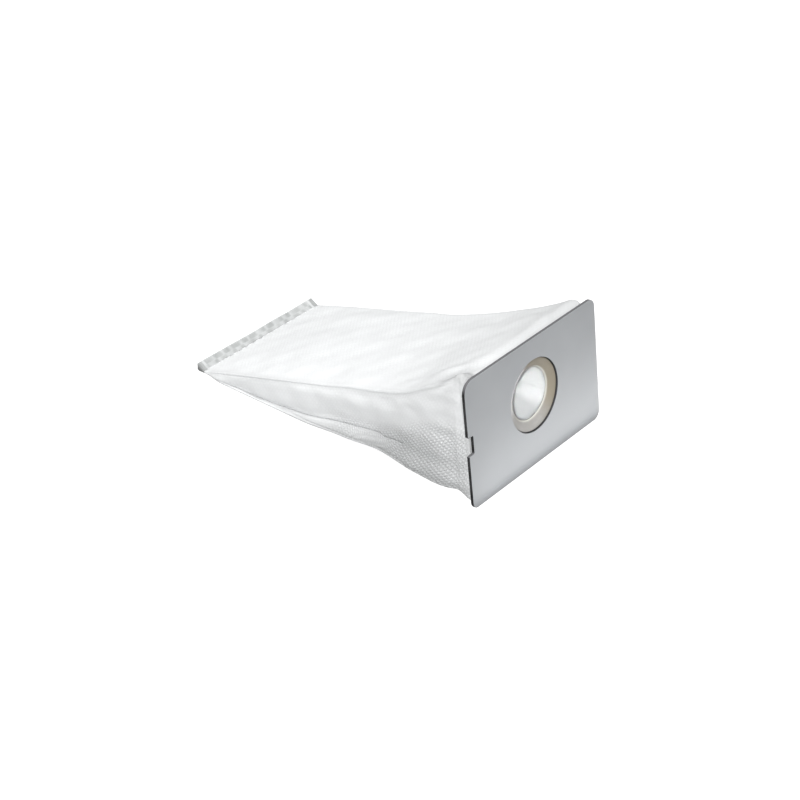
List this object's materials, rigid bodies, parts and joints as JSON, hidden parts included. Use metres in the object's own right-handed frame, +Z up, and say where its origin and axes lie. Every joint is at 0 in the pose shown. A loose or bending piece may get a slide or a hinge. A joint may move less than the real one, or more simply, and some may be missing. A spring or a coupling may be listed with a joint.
{
  "type": "sander dust bag",
  "caption": "White fleece dust bag with gusseted sides and a welded flat tail, on a stiff grey plate with a round inlet port, a keying notch and a soft lip seal.",
  "frame": {"origin": "below the middle of the whole object, on the surface that it lies on", "axes": "+X across the plate, to the right as seen from the port's side; +Y from the plate towards the welded tail; +Z up"},
  "size_m": [0.11, 0.199, 0.0706],
  "materials": {
    "plate_plastic": "satin moulded plastic, light grey, cut edges darker",
    "seal_rubber": "soft beige rubber, dull",
    "fleece": "white non-woven fleece with small staggered bond points, lets some light through"
  },
  "bodies": {
    "root": {"mounting_plate": "plate_plastic", "lip_seal": "seal_rubber", "filter_bag": "fleece"}
  },
  "joints": []
}
